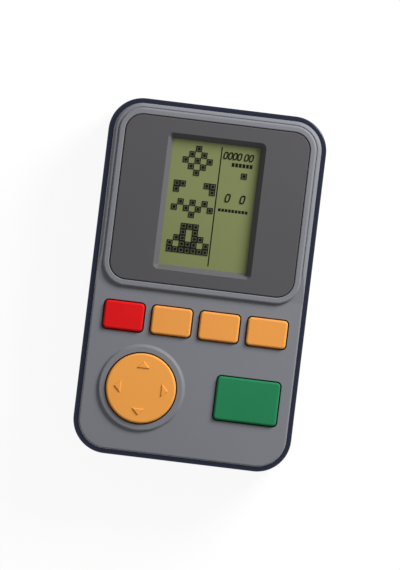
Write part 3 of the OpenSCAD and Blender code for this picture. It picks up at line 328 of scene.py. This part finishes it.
finishOf = {
    navyCase: ["rear_shell", "battery_door"],
    greyFace: ["front_shell"],
    darkSurround: ["screen_surround"],
    lcdGreen: ["lcd_front_glass", "lcd_rear_glass"],
    foilSilver: ["lcd_reflector"],
    naturalPlastic: ["lcd_cradle", "pad_seat"],
    zebraLayers: ["zebra_strip"],
    boardGreen: ["circuit_board"],
    carbonRubber: ["contact_pads", "red_pill", "left_pill", "middle_pill", "right_pill", "green_pill",
                   "pad_pills"],
    platedSteel: ["case_screws", "board_screws", "pad_ball", "battery_contacts", "battery_springs"],
    chipResin: ["chip_blob"],
    sleeveBlue: ["capacitors"],
    chipBody: ["resistors"],
    dippedOchre: ["resonator"],
    siliconeSheet: ["row_mat", "green_mat", "pad_mat"],
    redKey: ["red_button"],
    orangeKey: ["left_orange_button", "middle_orange_button", "right_orange_button"],
    orangePadPaintedLight: ["direction_pad"],
    greenKey: ["green_button"],
    discBrass: ["piezo_plate"],
    silverCeramic: ["piezo_ceramic"],
    leadSleeve: ["speaker_leads", "battery_leads"],
    cellFinish["left_battery"]: ["left_battery"],
    cellFinish["right_battery"]: ["right_battery"],
}
for finish, nodes in finishOf.items():
    for node in nodes:
        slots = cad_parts[node].data.materials
        slots.clear()
        slots.append(finish)
print("finishes set on", sum(len(nodes) for nodes in finishOf.values()), "nodes")


# new pieces

def meshPiece(name, points, faces, material, body):
    mesh = bpy.data.meshes.new(name)
    mesh.from_pydata(np.asarray(points).reshape(-1, 3).tolist(), [], faces)
    mesh.update()
    mesh.materials.append(material)
    piece = bpy.data.objects.new(name, mesh)
    bpy.context.scene.collection.objects.link(piece)
    if body:  # a piece given no body is left unattached
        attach(piece, body)
    return piece


# Faces of stacked loops at each place: quads from a loop to the next, with caps at both ends of an open stack
def stackFaces(count, rows, sides, closed):
    first = np.arange(count)[:, None, None] * rows * sides
    row = np.arange(rows if closed else rows - 1)[None, :, None]
    above = (row + 1) % rows
    k = np.arange(sides)[None, None, :]
    n = (k + 1) % sides
    quads = np.stack([first + row * sides + k, first + row * sides + n,
                      first + above * sides + n, first + above * sides + k], axis=3)
    ring = np.arange(sides)
    caps = np.concatenate([first[:, 0] + ring[::-1], first[:, 0] + (rows - 1) * sides + ring])
    return quads.reshape(-1, 4).tolist() + ([] if closed else caps.tolist())


# Loops carried from height to height at many places: plates, rings and turned forms
def loopStack(loops, heights, places):
    loops, places = np.asarray(loops, float), np.asarray(places, float)
    flat = places[:, None, None, :] + loops[None]
    level = np.broadcast_to(np.asarray(heights)[None, :, None, None], (*flat.shape[:3], 1))
    return np.concatenate([flat, level], axis=3)


def stackPiece(name, points, closed, material, body):
    return meshPiece(name, points, stackFaces(*points.shape[:3], closed), material, body)


creaseAngle = math.radians(30)  # edges that turn less shade smooth


def shadeSmooth(piece):
    piece.data.shade_smooth()
    piece.data.set_sharp_from_angle(angle=creaseAngle)


# Loops seen from above run anticlockwise: a rectangle's corners, or points spread evenly on a circle
def boxOutline(halfW, halfL):
    return [(-halfW, -halfL), (halfW, -halfL), (halfW, halfL), (-halfW, halfL)]


def roundOutline(radius, sides):
    angle = np.linspace(0, 2 * np.pi, sides, endpoint=False)
    return np.stack([radius * np.cos(angle), radius * np.sin(angle)], axis=1)


# Ink of the screen's segments: near black with a slight green cast and fine unevenness; a dull green-grey
# that fills each cell's inside; and a darker green that paints the segments' shadow on the reflector
inkShared = {"drift": 6 * mm, "grain": 0.15 * mm, "grainDepth": 0.001 * mm, "speckle": 0.3,
             "roughness": 0.5, "specular": 0.06}
segmentInk = mouldedPlastic("segmentInk", {
    "base": (0.004, 0.0045, 0.003), "shade": (0.006, 0.0065, 0.004), "fleck": (0.009, 0.0095, 0.006),
    **inkShared})
segmentTint = mouldedPlastic("segmentTint", {
    "base": (0.072, 0.076, 0.042), "shade": (0.078, 0.082, 0.046), "fleck": (0.090, 0.096, 0.055),
    **inkShared})
segmentPaintedShadow = mouldedPlastic("segmentPaintedShadow", {
    "base": (0.112, 0.122, 0.052), "shade": (0.119, 0.129, 0.056), "fleck": (0.132, 0.144, 0.064),
    **inkShared})
layerLook = {"gap": 0.004 * mm, "shade": 0.006 * mm, "tint": 0.01 * mm, "ink": 0.02 * mm}
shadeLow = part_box("lcd_front_glass")[1].z + layerLook["gap"]  # each layer lies just over the one below
shadeHigh = shadeLow + layerLook["shade"]
tintLow = shadeHigh + layerLook["gap"]
tintHigh = tintLow + layerLook["tint"]
segmentLow = tintHigh + layerLook["gap"]
segmentHigh = segmentLow + layerLook["ink"]
surroundLow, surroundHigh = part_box("screen_surround")
windowDrop = 0.1 * mm  # the window's middle lies this much below the surround's
windowMiddle = np.array([0.0, (surroundLow.y + surroundHigh.y) / 2 - windowDrop])


# Plates: an outline carried straight up from low to high
def screenPlates(name, outline, places, low, high, material):
    points = loopStack([outline, outline], [low, high], places)
    stackPiece(name, points, False, material, "case")


# Rings: up the outer loop, across, down the inner loop and back
def screenRings(name, outer, inner, places, low, high, material):
    points = loopStack([outer, outer, inner, inner], [low, high, high, low], places)
    stackPiece(name, points, True, material, "case")


# The segments' painted shadow on the reflector behind them falls away from the lamp
castShift = np.array([-0.22 * mm, -0.26 * mm])
castLow = shadeHigh - layerLook["ink"]  # the digits' shadows are as thick as they are and dip into the glass

# Play field: square cells with a frame and a dot
fieldDesign = {
    "pitch": 1.757 * mm, "frameOuter": 0.87 * mm, "frameInner": 0.62 * mm, "dot": 0.46 * mm, "dotSides": 16,
    "lap": 0.05 * mm, "left": -10.3 * mm, "top": 16.2 * mm, "next": (8.9 * mm, 9.75 * mm),
    "rows": ["...#...",
             "..#.#..",
             ".#.#.#.",
             "..#.#..",
             "...#...",
             ".......",
             "##...##",
             "#.....#",
             ".......",
             ".#.#.#.",
             "#.#.#.#",
             "...#...",
             ".......",
             "..###..",
             "..#.#..",
             ".##.##.",
             "#.###.#",
             "#######"]}


# Each mark's column and row times the pitch, from the field's top left cell, and the single cell beside it
def fieldCells(design):
    grid = np.array([[mark == "#" for mark in row] for row in design["rows"]])
    row, column = np.nonzero(grid)
    x = design["left"] + column * design["pitch"]
    y = design["top"] - row * design["pitch"]
    return np.concatenate([np.stack([x, y], axis=1), [design["next"]]]) + windowMiddle


cells = fieldCells(fieldDesign)
outerHalf, innerHalf = fieldDesign["frameOuter"], fieldDesign["frameInner"]
cellOuter, cellInner = boxOutline(outerHalf, outerHalf), boxOutline(innerHalf, innerHalf)
bodyHalf = innerHalf + fieldDesign["lap"]
dotOutline = roundOutline(fieldDesign["dot"], fieldDesign["dotSides"])
screenRings("screen_cell_frames", cellOuter, cellInner, cells, segmentLow, segmentHigh, segmentInk)
screenPlates("screen_cell_dots", dotOutline, cells, segmentLow, segmentHigh, segmentInk)
screenPlates("screen_cell_shadows", cellOuter, cells + castShift, shadeLow, shadeHigh, segmentPaintedShadow)
screenPlates("screen_cell_bodies", boxOutline(bodyHalf, bodyHalf), cells, tintLow, tintHigh, segmentTint)
print("screen cells:", len(cells))

# Digits: every one is a plain nought, a leaning ring with squarish bends
digitDesign = {
    "lean": 0.17, "bend": 3.0, "sides": 40,
    "score": {"stroke": 0.34 * mm, "half": (0.66 * mm, 1.10 * mm), "y": 15.25 * mm,
              "x": [2.95 * mm, 4.35 * mm, 5.70 * mm, 7.05 * mm, 9.05 * mm, 10.45 * mm]},
    "count": {"stroke": 0.38 * mm, "half": (0.77 * mm, 1.29 * mm), "y": 2.95 * mm,
              "x": [4.93 * mm, 9.28 * mm]},
}


# Loop whose x and y, each divided by its half size and raised to the bend, add up to one
def squarishLoop(halfW, halfL, design):
    angle = np.linspace(0, 2 * np.pi, design["sides"], endpoint=False)
    x = halfW * np.sign(np.cos(angle)) * np.abs(np.cos(angle)) ** (2 / design["bend"])
    y = halfL * np.sign(np.sin(angle)) * np.abs(np.sin(angle)) ** (2 / design["bend"])
    return np.stack([x + design["lean"] * y, y], axis=1)


for name in ("score", "count"):
    digits = digitDesign[name]
    halfW, halfL = digits["half"]
    stroke = digits["stroke"]
    places = np.array([[x, digits["y"]] for x in digits["x"]]) + windowMiddle
    outer = squarishLoop(halfW, halfL, digitDesign)
    inner = squarishLoop(halfW - stroke, halfL - stroke, digitDesign)
    castPlaces = places + castShift
    screenRings("screen_" + name + "_digits", outer, inner, places, segmentLow, segmentHigh, segmentInk)
    screenRings("screen_" + name + "_shadows", outer, inner, castPlaces, castLow, shadeHigh, segmentPaintedShadow)

# Divider between the play field and the counters, and plain tally bars below the digits
markDesign = {
    "dividerX": 1.6 * mm, "dividerHalf": (0.16 * mm, 17.5 * mm),
    "scoreTally": {"x": 5.35 * mm, "y": 12.75 * mm, "count": 6, "pitch": 1.05 * mm,
                   "half": (0.40 * mm, 0.56 * mm)},
    "countTally": {"x": 2.95 * mm, "y": -0.72 * mm, "count": 9, "pitch": 0.98 * mm,
                   "half": (0.38 * mm, 0.42 * mm)},
}
dividerOutline = boxOutline(*markDesign["dividerHalf"])
dividerPlace = windowMiddle + (markDesign["dividerX"], 0)
screenPlates("screen_divider", dividerOutline, [dividerPlace], segmentLow, segmentHigh, segmentInk)
for name in ("scoreTally", "countTally"):
    tally = markDesign[name]
    x = tally["x"] + np.arange(tally["count"]) * tally["pitch"]
    places = np.stack([x, np.full_like(x, tally["y"])], axis=1) + windowMiddle
    screenPlates("screen_" + name, boxOutline(*tally["half"]), places, segmentLow, segmentHigh, segmentInk)
print("screen digits and marks made")


# Tubes: a circle carried along each path, turned by one fixed side direction, closed at both ends
def tubePiece(name, paths, design, side, material, node):
    paths = np.asarray(paths)
    along = np.gradient(paths, axis=1)
    along = along / np.linalg.norm(along, axis=2, keepdims=True)
    first = np.cross(along, side)
    first = first / np.linalg.norm(first, axis=2, keepdims=True)
    second = np.cross(along, first)
    angle = np.linspace(0, 2 * np.pi, design["sides"], endpoint=False)[:, None]
    ring = np.cos(angle) * first[:, :, None, :] + np.sin(angle) * second[:, :, None, :]
    piece = stackPiece(name, paths[:, :, None, :] + design["radius"] * ring, False, material, "case")
    shadeSmooth(piece)
    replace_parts(piece, node)


# Springs: the wire winds round the battery's axis while its radius shrinks evenly towards the battery
springDesign = {"turns": 4, "steps": 48, "radius": 0.35 * mm, "baseR": 3.8 * mm, "tipR": 2.4 * mm,
                "length": 5.9 * mm, "plate": 0.4 * mm, "seat": 0.05 * mm, "sides": 14}
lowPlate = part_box("battery_contacts")[0].y
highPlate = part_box("left_battery")[1].y + springDesign["plate"] + springDesign["seat"]


def springPath(design, battery, plate, way):
    low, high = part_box(battery)
    part = np.linspace(0, 1, design["turns"] * design["steps"] + 1)
    angle = 2 * np.pi * design["turns"] * part + (0 if way > 0 else np.pi)
    coil = design["baseR"] + (design["tipR"] - design["baseR"]) * part
    wireR = design["radius"]
    rise = design["plate"] + design["seat"] + wireR + (design["length"] - 2 * wireR) * part
    x = (low.x + high.x) / 2 + coil * np.cos(angle)
    z = (low.z + high.z) / 2 + coil * np.sin(angle)
    return np.stack([x, plate + way * rise, z], axis=1)


springs = [springPath(springDesign, "left_battery", lowPlate, 1),
           springPath(springDesign, "right_battery", highPlate, -1)]
tubePiece("battery_spring_coils", springs, springDesign, (0, 1, 0), platedSteel, "battery_springs")

# Leads: upright at both ends, with an eased lean between
leadDesign = {"radius": 0.45 * mm, "sides": 14, "steps": 30, "upright": 0.2}


def leadPaths(design, node, lean):
    low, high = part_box(node)
    r = design["radius"]
    part = np.linspace(0, 1, design["steps"] + 1)
    share = np.clip((part - design["upright"]) / (1 - 2 * design["upright"]), 0, 1)
    eased = share * share * (3 - 2 * share)
    start, end = (low.y + r, high.y - r) if lean > 0 else (high.y - r, low.y + r)
    y = start + (end - start) * eased
    z = low.z + (high.z - low.z) * part
    return [np.stack([np.full_like(part, x), y, z], axis=1) for x in (low.x + r, high.x - r)]


for node, lean in (("speaker_leads", -1), ("battery_leads", 1)):
    tubePiece(node + "_round", leadPaths(leadDesign, node, lean), leadDesign, (1, 0, 0), leadSleeve, node)
print("springs and leads wound")

# Rubber keypads: sheets stay on the board, plungers go with their keys and the skirts between them are
# attached to no body
rubberDesign = {"sheet": 0.8 * mm, "skirt": 0.5 * mm, "plunger": 0.3 * mm, "roof": 0.4 * mm,
                "corner": 1.5 * mm, "seatHole": 2.5 * mm, "seam": 0.02 * mm, "sides": 40, "steps": 8}
keyDome = {"base": 4.2 * mm, "top": 2.8 * mm, "pill": 1.8 * mm, "pillNode": "red_pill", "mat": "row_mat"}
padDome = {"base": 3.4 * mm, "top": 2.0 * mm, "pill": 1.2 * mm, "pillNode": "pad_pills", "mat": "pad_mat",
           "reach": 6.6 * mm, "count": 4}
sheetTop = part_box("circuit_board")[1].z + rubberDesign["sheet"]


# Flat sheet with holes: both faces filled between the loops, and a wall round each loop
def holedSheet(outer, holes, low, high):
    loops = [outer] + [hole[::-1] for hole in holes]
    flat = np.concatenate(loops)
    fill = np.array(tessellate_polygon([loop.tolist() for loop in loops]))
    first, second = (flat[fill[:, side]] - flat[fill[:, 0]] for side in (1, 2))
    turn = first[:, :1] * second[:, 1:] - first[:, 1:] * second[:, :1]
    fill = np.where(turn < 0, fill[:, ::-1], fill)
    count = len(flat)
    points = np.concatenate([np.insert(flat, 2, level, axis=1) for level in (low, high)])
    faces = (fill + count).tolist() + fill[:, ::-1].tolist()
    start = 0
    for loop in loops:
        k = np.arange(len(loop))
        n = (k + 1) % len(loop) + start
        k = k + start
        faces += np.stack([k, n, n + count, k + count], axis=1).tolist()
        start += len(loop)
    return points, faces


# Rectangle with round corners: a quarter circle set in from each corner
def roundedLoop(low, high, corner, sides):
    angle = (np.arange(sides) + 0.5) * 2 * np.pi / sides
    unit = np.stack([np.cos(angle), np.sin(angle)], axis=1)
    half = np.array([high.x - low.x, high.y - low.y]) / 2
    middle = np.array([high.x + low.x, high.y + low.y]) / 2
    return middle + corner * unit + np.sign(unit) * (half - corner)


# A dome's heights, and the skirt's inner radius at the sheet's top, on a straight line from board to roof
def domeSizes(dome, design):
    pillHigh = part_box(dome["pillNode"])[1].z
    roof = pillHigh + design["plunger"]
    roofInner = dome["pill"] + design["skirt"]
    share = design["sheet"] / (roof - sheetTop + design["sheet"])
    footInner = dome["base"] - design["skirt"]
    return {"pillHigh": pillHigh, "roof": roof, "roofInner": roofInner, "rim": roof + design["roof"],
            "top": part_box(dome["mat"])[1].z, "footInner": footInner + (roofInner - footInner) * share}


# Skirt: up the outer slope and down the inner one, a hairline short of the sheet and of the plunger
def skirtSection(dome, size, design):
    foot, rim, roof = sheetTop + design["seam"], size["rim"] - design["seam"], size["roof"] - design["seam"]
    outer = np.linspace((dome["base"], foot), (dome["top"], rim), design["steps"] + 1)
    inner = np.linspace((size["roofInner"], roof), (size["footInner"], foot), design["steps"] + 1)
    return np.concatenate([outer, inner])


# Plunger: from the pill's edge up to the roof, out under it, up the rim and on to the key
def plungerSection(dome, size):
    return [(dome["pill"], size["pillHigh"]), (dome["pill"], size["roof"]), (size["roofInner"], size["roof"]),
            (dome["top"], size["rim"]), (dome["top"], size["top"])]


# Turned form: a section of radii and heights carried round an upright axis at each place
def turnedPiece(name, section, places, closed, body, node):
    radii, heights = np.asarray(section).T
    loops = roundOutline(1.0, rubberDesign["sides"])[None] * radii[:, None, None]
    piece = stackPiece(name, loopStack(loops, heights, places), closed, siliconeSheet, body)
    shadeSmooth(piece)
    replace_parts(piece, node)
    return piece


# Sheet: from the board up by its thickness, with a round hole at each place
def sheetPiece(node, outer, places, holes):
    places = np.asarray(places)
    loops = [place + roundOutline(radius, rubberDesign["sides"]) for place, radius in zip(places, holes)]
    points, faces = holedSheet(outer, loops, sheetTop - rubberDesign["sheet"], sheetTop)
    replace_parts(meshPiece(node + "_sheet", points, faces, siliconeSheet, "case"), node)


def middleOf(node):
    low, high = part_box(node)
    return (low.x + high.x) / 2, (low.y + high.y) / 2


# Bakes the piece's placement into its mesh
def bendUp(piece):
    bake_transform(piece)


keySize = domeSizes(keyDome, rubberDesign)
keySkirt = skirtSection(keyDome, keySize, rubberDesign)
keyPlunger = plungerSection(keyDome, keySize)
keysOf = {"row_mat": {"red": "red_key", "left": "left_orange_key", "middle": "middle_orange_key",
                      "right": "right_orange_key"}, "green_mat": {"green": "green_key"}}
for mat, keys in keysOf.items():
    places = [middleOf(key + "_pill") for key in keys]
    low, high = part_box(mat)
    outer = roundedLoop(low, high, rubberDesign["corner"], rubberDesign["sides"])
    sheetPiece(mat, outer, places, [keySize["footInner"]] * len(places))
    for (key, body), place in zip(keys.items(), places):
        turnedPiece(key + "_dome_plunger", keyPlunger, [place], False, body, mat)
        skirt = turnedPiece(key + "_dome_skirt", keySkirt, [place], True, None, mat)
        bendUp(skirt)

padSize = domeSizes(padDome, rubberDesign)
padSkirt = skirtSection(padDome, padSize, rubberDesign)
padMiddle = np.array(middleOf("pad_ball"))
padPlaces = padMiddle + roundOutline(padDome["reach"], padDome["count"])
low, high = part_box("pad_mat")
padOuter = padMiddle + roundOutline((high.x - low.x) / 2, 2 * rubberDesign["sides"])
padHoles = [rubberDesign["seatHole"]] + [padSize["footInner"]] * len(padPlaces)
sheetPiece("pad_mat", padOuter, [padMiddle, *padPlaces], padHoles)
turnedPiece("pad_dome_plungers", plungerSection(padDome, padSize), padPlaces, False, "pad", "pad_mat")
sideSkirts = turnedPiece("pad_side_dome_skirts", padSkirt, padPlaces[::2], True, None, "pad_mat")
bendUp(sideSkirts)
endSkirts = turnedPiece("pad_end_dome_skirts", padSkirt, padPlaces[1::2], True, None, "pad_mat")
bendUp(endSkirts)
print("rubber keypads made")


# stage, light and camera; the image is taken as 400 by 570
cameraLook = {"roll": math.radians(6.95), "distance": 4.0, "pixel": 0.2921 * mm, "tall": 570,
              "aimPixels": (0.18, -0.17), "aimHeight": 12 * mm, "sideways": -0.035, "clip": 20}
roll = cameraLook["roll"]
imageRight = np.array([math.cos(roll), math.sin(roll), 0.0])
imageUp = np.array([-math.sin(roll), math.cos(roll), 0.0])
outward = np.array([0.0, 0.0, 1.0])


# Far camera: its sensor spans the picture's height at the aim, and it stands a little to one side
def setCamera(look):
    data = bpy.data.cameras.new("camera")
    data.lens = data.sensor_width * look["distance"] / (look["tall"] * look["pixel"])
    data.clip_end = look["clip"]
    camera = bpy.data.objects.new("camera", data)
    bpy.context.scene.collection.objects.link(camera)
    aim = (imageRight * look["aimPixels"][0] + imageUp * look["aimPixels"][1]) * look["pixel"]
    aim = aim + outward * look["aimHeight"]
    camera.location = aim + imageRight * look["sideways"] + outward * look["distance"]
    camera.rotation_euler = (0, math.atan2(look["sideways"], look["distance"]), look["roll"])
    bpy.context.scene.camera = camera


lampLook = {
    "keyLamp": {"from": (0.585, 0.625, 0.520), "distance": 0.50, "size": 0.24, "power": 3.6},
    "backLamp": {"from": (-0.35, -0.45, -0.82), "distance": 0.7, "size": 0.5, "power": 2.6},
}


def setLamp(name, look):
    data = bpy.data.lights.new(name, "AREA")
    data.shape = "DISK"
    data.size = look["size"]
    data.energy = look["power"]
    lamp = bpy.data.objects.new(name, data)
    lamp.visible_camera = False
    bpy.context.scene.collection.objects.link(lamp)
    way = np.array(look["from"]) / np.linalg.norm(look["from"])
    lamp.location = way * look["distance"]
    lamp.rotation_euler = lamp.location.to_track_quat("Z", "Y").to_euler()


worldLook = {"ambient": 0.27, "seen": 1.0}


# One where the camera, gloss or glass looks at the world
def seenRay(holder):
    path = addNode(holder, "ShaderNodeLightPath")
    first = addNode(holder, "ShaderNodeMath", operation="MAXIMUM")
    link(holder, path.outputs["Is Camera Ray"], first.inputs[0])
    link(holder, path.outputs["Is Glossy Ray"], first.inputs[1])
    both = addNode(holder, "ShaderNodeMath", operation="MAXIMUM")
    link(holder, first.outputs["Value"], both.inputs[0])
    link(holder, path.outputs["Is Transmission Ray"], both.inputs[1])
    return both.outputs["Value"]


# World: soft ambient light, and plain white where it is looked at
def setWorld(look):
    world = bpy.data.worlds.new("studio")
    bpy.context.scene.world = world
    world.use_nodes = True
    background = world.node_tree.nodes["Background"]
    background.inputs["Color"].default_value = (1, 1, 1, 1)
    level = addNode(world, "ShaderNodeMapRange", {"To Min": look["ambient"], "To Max": look["seen"]})
    link(world, seenRay(world), level.inputs["Value"])
    link(world, level.outputs["Result"], background.inputs["Strength"])


floorLook = {"half": 6.0, "height": -0.05 * mm, "glow": 0.92, "colour": (0.10, 0.10, 0.10)}


# Floor: white with a soft shadow from above, open from below so that the back can be seen
def setFloor(look):
    mesh = bpy.data.meshes.new("floor")
    corners = [(x, y, look["height"]) for x, y in boxOutline(look["half"], look["half"])]
    mesh.from_pydata(corners, [], [(0, 1, 2, 3)])
    floor = bpy.data.objects.new("floor", mesh)
    bpy.context.scene.collection.objects.link(floor)
    floor.visible_diffuse = False
    floor.visible_shadow = False
    mat = bpy.data.materials.new("floorWhite")
    mat.use_nodes = True
    tree = mat.node_tree
    tree.nodes.remove(tree.nodes["Principled BSDF"])
    matt = addNode(mat, "ShaderNodeBsdfDiffuse", {"Color": (*look["colour"], 1)})
    glow = addNode(mat, "ShaderNodeEmission", {"Strength": look["glow"]})
    lit = addNode(mat, "ShaderNodeAddShader")
    link(mat, matt.outputs["BSDF"], lit.inputs[0])
    link(mat, glow.outputs["Emission"], lit.inputs[1])
    clear = addNode(mat, "ShaderNodeBsdfTransparent")
    side = addNode(mat, "ShaderNodeNewGeometry")
    choose = addNode(mat, "ShaderNodeMixShader")
    link(mat, side.outputs["Backfacing"], choose.inputs["Fac"])
    link(mat, lit.outputs["Shader"], choose.inputs[1])
    link(mat, clear.outputs["BSDF"], choose.inputs[2])
    link(mat, choose.outputs["Shader"], tree.nodes["Material Output"].inputs["Surface"])
    mesh.materials.append(mat)


setCamera(cameraLook)
for name, look in lampLook.items():
    setLamp(name, look)
setWorld(worldLook)
setFloor(floorLook)
bpy.context.scene.view_settings.view_transform = "Standard"
print("camera, lamps and floor set")
